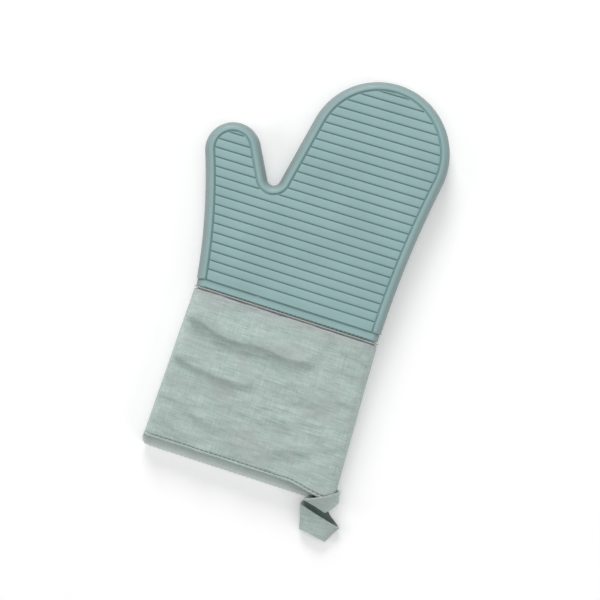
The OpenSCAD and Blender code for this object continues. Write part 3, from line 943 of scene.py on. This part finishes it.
def make_cuff_lining():
    """Batting and cotton from the hem up to the collar, where they lie deeper."""
    tucked = 2.7
    for label, (outer, inner) in CUFF_PLIES.items():
        steps = [(y, outer, inner) for y in np.linspace(HEM_LEN + 0.3, CUFF_LEN - 3, 40)]
        for y in (CUFF_LEN, COLLAR_Y - 0.2):
            steps.append((y, outer + tucked, inner + tucked))
        piece = ring_piece(label + "_cuff_lining", steps, label, PLY_LOOKS[label],
                           LINING_COLUMNS, front_relief)
        ride_palm(piece)
        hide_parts(f"{label}_front_cuff", f"{label}_back_cuff")


def make_piping():
    """A round welt below the collar, and its flat end under the collar."""
    steps = [(CUFF_LEN + 0.35 + 1.5 * t, 1.6 - 2.3 * math.sin(math.pi * t) ** 0.6, 2.4)
             for t in np.linspace(0, 1, 9)]
    steps += [(SEAM_Y - 0.5, 2.1, 2.45), (COLLAR_Y - 0.3, 2.1, 2.45)]
    piece = ring_piece("piping_linen", steps, "linen", LINEN, CUFF_COLUMNS)
    ride_palm(piece)
    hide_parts("piping")


make_cuff_lining()
make_piping()


# ---------------------------------------------------------------- stitches
THREAD_SIDES = 6
# Shape of a stitch: shares of its length, and of its radius there
THREAD_SHAPE = [(0.0, 0.35), (0.12, 0.85), (0.35, 1.0), (0.65, 1.0), (0.88, 0.85), (1.0, 0.35)]


def make_stitches(name, ends, radius, material, nodes, move=ride_palm):
    """Short threads between pairs of points, each one a capsule whose ends dip into the cloth."""
    points = []
    faces = []
    sides = THREAD_SIDES
    last = (len(THREAD_SHAPE) - 1) * sides
    for a, b in ends:
        a = np.array(a, float)
        b = np.array(b, float)
        along = (b - a) / np.linalg.norm(b - a)
        across = np.cross(along, (0, 0, 1))
        up = np.cross(across, along)
        first = len(points)
        for t, wide in THREAD_SHAPE:
            centre = a + (b - a) * t + up * radius * (4 * t * (1 - t) - 0.5)
            for k in range(sides):
                turn = 2 * math.pi * k / sides
                outward = across * math.cos(turn) + up * math.sin(turn)
                points.append(centre + radius * wide * outward)
        for here in range(first, first + last, sides):
            for k in range(sides):
                nxt = (k + 1) % sides
                faces.append([here + k, here + nxt, here + sides + nxt, here + sides + k])
        faces.append([first + k for k in range(sides)][::-1])
        faces.append([first + last + k for k in range(sides)])
    piece = make_piece(name, points, faces, material)
    move(piece)
    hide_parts(nodes)


def surface_z(x, y, depth, side, relief):
    """Level of the cuff's surface at one point."""
    line = cuff_line(y, depth, side, CUFF_COLUMNS, relief)
    return float(np.interp(x, line[:, 0], line[:, 2]))


def seam_run(x0, x1, pitch, gap, place):
    """Pairs of points along a seam. place(x) gives the y and z of a point of the seam."""
    count = int((x1 - x0) / pitch)
    starts = x0 + (x1 - x0 - count * pitch + gap) / 2 + pitch * np.arange(count)
    return [((x, *place(x)), (x + pitch - gap, *place(x + pitch - gap))) for x in starts]


HEM_SEAM_Y = FRONT_EDGE + 2.72
HEM_GAP = 0.9
HEM_THREAD_R = 0.32
COLLAR_PITCH = 3.4
COLLAR_GAP = 0.2
COLLAR_THREAD_R = 0.65


def front_hem_place(x):
    z = surface_z(x, HEM_SEAM_Y, 0.3, 1, front_relief)
    return HEM_SEAM_Y - front_drop(x, HEM_SEAM_Y), z


def back_hem_place(x):
    return HEM_SEAM_Y, surface_z(x, HEM_SEAM_Y, ROLL_DEPTH, -1, back_relief) + 0.05


def top_collar_place(x):
    return SEAM_Y - 0.15, COLLAR_HIGH - 0.45


def bottom_collar_place(x):
    return SEAM_Y - 0.15, COLLAR_LOW + 0.45


def make_seams():
    front = seam_run(-74, 74, HEM_PITCH, HEM_GAP, front_hem_place)
    make_stitches("hem_front_stitches", front, HEM_THREAD_R, LIGHT_THREAD,
                  "hem_stitching_front")
    inside = seam_run(-70, 70, HEM_PITCH, HEM_GAP, back_hem_place)
    make_stitches("hem_back_stitches", inside, HEM_THREAD_R, LIGHT_THREAD,
                  "hem_stitching_back")
    collar = []
    for place in (top_collar_place, bottom_collar_place):
        collar += seam_run(-70, 67.5, COLLAR_PITCH, COLLAR_GAP, place)
    make_stitches("collar_stitches", collar, COLLAR_THREAD_R, DARK_THREAD,
                  "collar_stitching")


make_seams()


# ---------------------------------------------------------------- hanging loop
# The tape's two edges, from its sewn end inside the cuff, over the flattened loop and back
TAPE = [((76.5, 14.5, 9.5), (77.0, 4.5, 9.5)), ((81.0, 12.8, 12.5), (82.2, 5.2, 10.5)),
        ((76.5, 9.9, 18.5), (81.2, 1.5, 13.0)), ((69.0, 5.4, 21.2), (78.5, -2.0, 14.5)),
        ((56.2, -0.6, 17.0), (74.9, -5.6, 13.0)), ((59.5, 2.5, 11.0), (73, -1, 8.0)),
        ((59.0, 0, 3.0), (68, -12, 1.8)), ((55.6, -5.6, 4.5), (61.0, -24.2, 3.8)),
        ((60, -7.3, 8.6), (64.5, -25.3, 7.0)), ((74, -11.0, 10.0), (73, -27, 7.5)),
        ((85.0, -13.8, 8.5), (79.8, -28.2, 6.0)), ((89.6, -14.9, 5.0), (82.2, -28.3, 3.5)),
        ((86.2, -12.4, 1.6), (78.5, -25.5, 1.2)), ((79.0, -7.0, 1.0), (69, -15.5, 1.0)),
        ((75.5, 0.5, 3.5), (62.5, -4.5, 3.0)), ((75.0, 13.0, 7.2), (60.5, 9.0, 7.0))]
TAPE_T = 1.3
TAPE_COLUMNS = 12
KNOT_STEPS = 8
# Where the tape lies inside its own fold, counted in knots, and how much painted shade it gets there
INSIDE_KNOTS = [4.6, 5.2, 6.5, 7.0, 11.0, 12.2, 14.6, 15.0]
INSIDE_SHADE = [0, 1, 1, 0, 0, 1, 1, 0]
# The bar tack: its first stitch's two ends, and the steps from one stitch to the next
TACK = np.array([(79.3, 11.0, 15.2), (79.5, 9.6, 14.7)])
TACK_STEP = np.array([0.2, -2, -0.7])
TACK_STITCHES = 3
TACK_THREAD_R = 0.25


def spline(knots, steps):
    """A smooth line (a Catmull-Rom spline) through every knot."""
    knots = np.array(knots, float)
    padded = np.vstack([2 * knots[0] - knots[1], knots, 2 * knots[-1] - knots[-2]])
    line = []
    for i in range(len(knots) - 1):
        p0, p1, p2, p3 = padded[i:i + 4]
        for t in np.arange(steps) / steps:
            line.append(0.5 * (2 * p1 + (p2 - p0) * t + (2 * p0 - 5 * p1 + 4 * p2 - p3) * t * t
                               + (3 * p1 - p0 - 3 * p2 + p3) * t ** 3))
    return np.array(line + [knots[-1]])


def make_loop():
    """The loop's tape, which is thicker along its edges, and its bar tack."""
    first = spline([a for a, b in TAPE], KNOT_STEPS)
    second = spline([b for a, b in TAPE], KNOT_STEPS)
    share = np.linspace(0, 1, TAPE_COLUMNS + 1)[None, :, None]
    middle = first[:, None] * (1 - share) + second[:, None] * share
    down = np.gradient(middle, axis=0)
    over = np.gradient(middle, axis=1)
    normal = np.cross(down, over)
    normal /= np.linalg.norm(normal, axis=2, keepdims=True)
    thick = TAPE_T / 2 * (1 + 0.25 * np.cos(share * 2 * math.pi))
    knot = np.linspace(0, len(TAPE) - 1, len(middle))
    marks = np.zeros((*middle.shape[:2], 2))
    # Painted shade where the tape lies inside its own fold
    marks[:, :, 1] = np.interp(knot, INSIDE_KNOTS, INSIDE_SHADE)[:, None]
    shell = Shell()
    shell.grid(middle + normal * thick, middle - normal * thick, marks)
    piece = shell.piece("hanging_loop_tape", "linen", LINEN)
    bend_loop(piece)
    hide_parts("hanging_loop", "loop_tail")
    ends = [TACK + k * TACK_STEP for k in range(TACK_STITCHES)]
    make_stitches("loop_stitches", ends, TACK_THREAD_R, LIGHT_THREAD,
                  "loop_stitching", bend_loop)


make_loop()


# ---------------------------------------------------------------- floor, light and camera
FLOOR_SIZE = 8
FLOOR_Z = -0.0006
WORLD_STRENGTH = 0.36
# Name, place in metres, width in metres and power in watts. Every light is aimed at the mitt.
LIGHTS = [("key", (-0.7, 1.7, 1.15), 0.8, 25), ("left", (-1.7, -0.4, 1.1), 1.0, 8),
          ("right", (1.7, -0.4, 1.1), 1.0, 8), ("top", (0.1, 0.1, 2.2), 2.0, 16)]
CAMERA_PLACE = (0.01155, -0.0044, 1.318)
CAMERA_TURN = math.radians(18)
CAMERA_LENS = 100
CAMERA_SENSOR = 36


def make_floor():
    """A white floor that glows a little, so that it stays white under the mitt's soft shadow."""
    bpy.ops.mesh.primitive_plane_add(size=FLOOR_SIZE, location=(0, 0, FLOOR_Z))
    floor = bpy.context.object
    floor.name = "floor"
    look = bpy.data.materials.new("pale floor")
    look.use_nodes = True
    shader = look.node_tree.nodes["Principled BSDF"]
    shader.inputs["Base Color"].default_value = (0.9, 0.9, 0.9, 1)
    shader.inputs["Roughness"].default_value = 0.9
    shader.inputs["Emission Color"].default_value = (1, 1, 1, 1)
    shader.inputs["Emission Strength"].default_value = 0.08
    floor.data.materials.append(look)


def add_light(name, place, size, power):
    """A square lamp aimed at the mitt."""
    data = bpy.data.lights.new(name, "AREA")
    data.shape = "SQUARE"
    data.size = size
    data.energy = power
    lamp = bpy.data.objects.new(name, data)
    lamp.location = place
    lamp.rotation_euler = (-Vector(place)).to_track_quat("-Z", "Y").to_euler()
    bpy.context.scene.collection.objects.link(lamp)


def add_camera():
    """Straight above the mitt, turned a little so that the fingers point up and to the right."""
    data = bpy.data.cameras.new("camera")
    data.sensor_width = CAMERA_SENSOR
    data.lens = CAMERA_LENS
    camera = bpy.data.objects.new("camera", data)
    camera.location = CAMERA_PLACE
    camera.rotation_euler = (0, 0, CAMERA_TURN)
    bpy.context.scene.collection.objects.link(camera)
    bpy.context.scene.camera = camera


def add_world():
    """White light from all round."""
    world = bpy.data.worlds.new("studio")
    bpy.context.scene.world = world
    world.use_nodes = True
    background = world.node_tree.nodes["Background"]
    background.inputs["Color"].default_value = (1, 1, 1, 1)
    background.inputs["Strength"].default_value = WORLD_STRENGTH


make_floor()
for light in LIGHTS:
    add_light(*light)
bpy.context.scene.view_settings.view_transform = "Standard"
add_world()
add_camera()
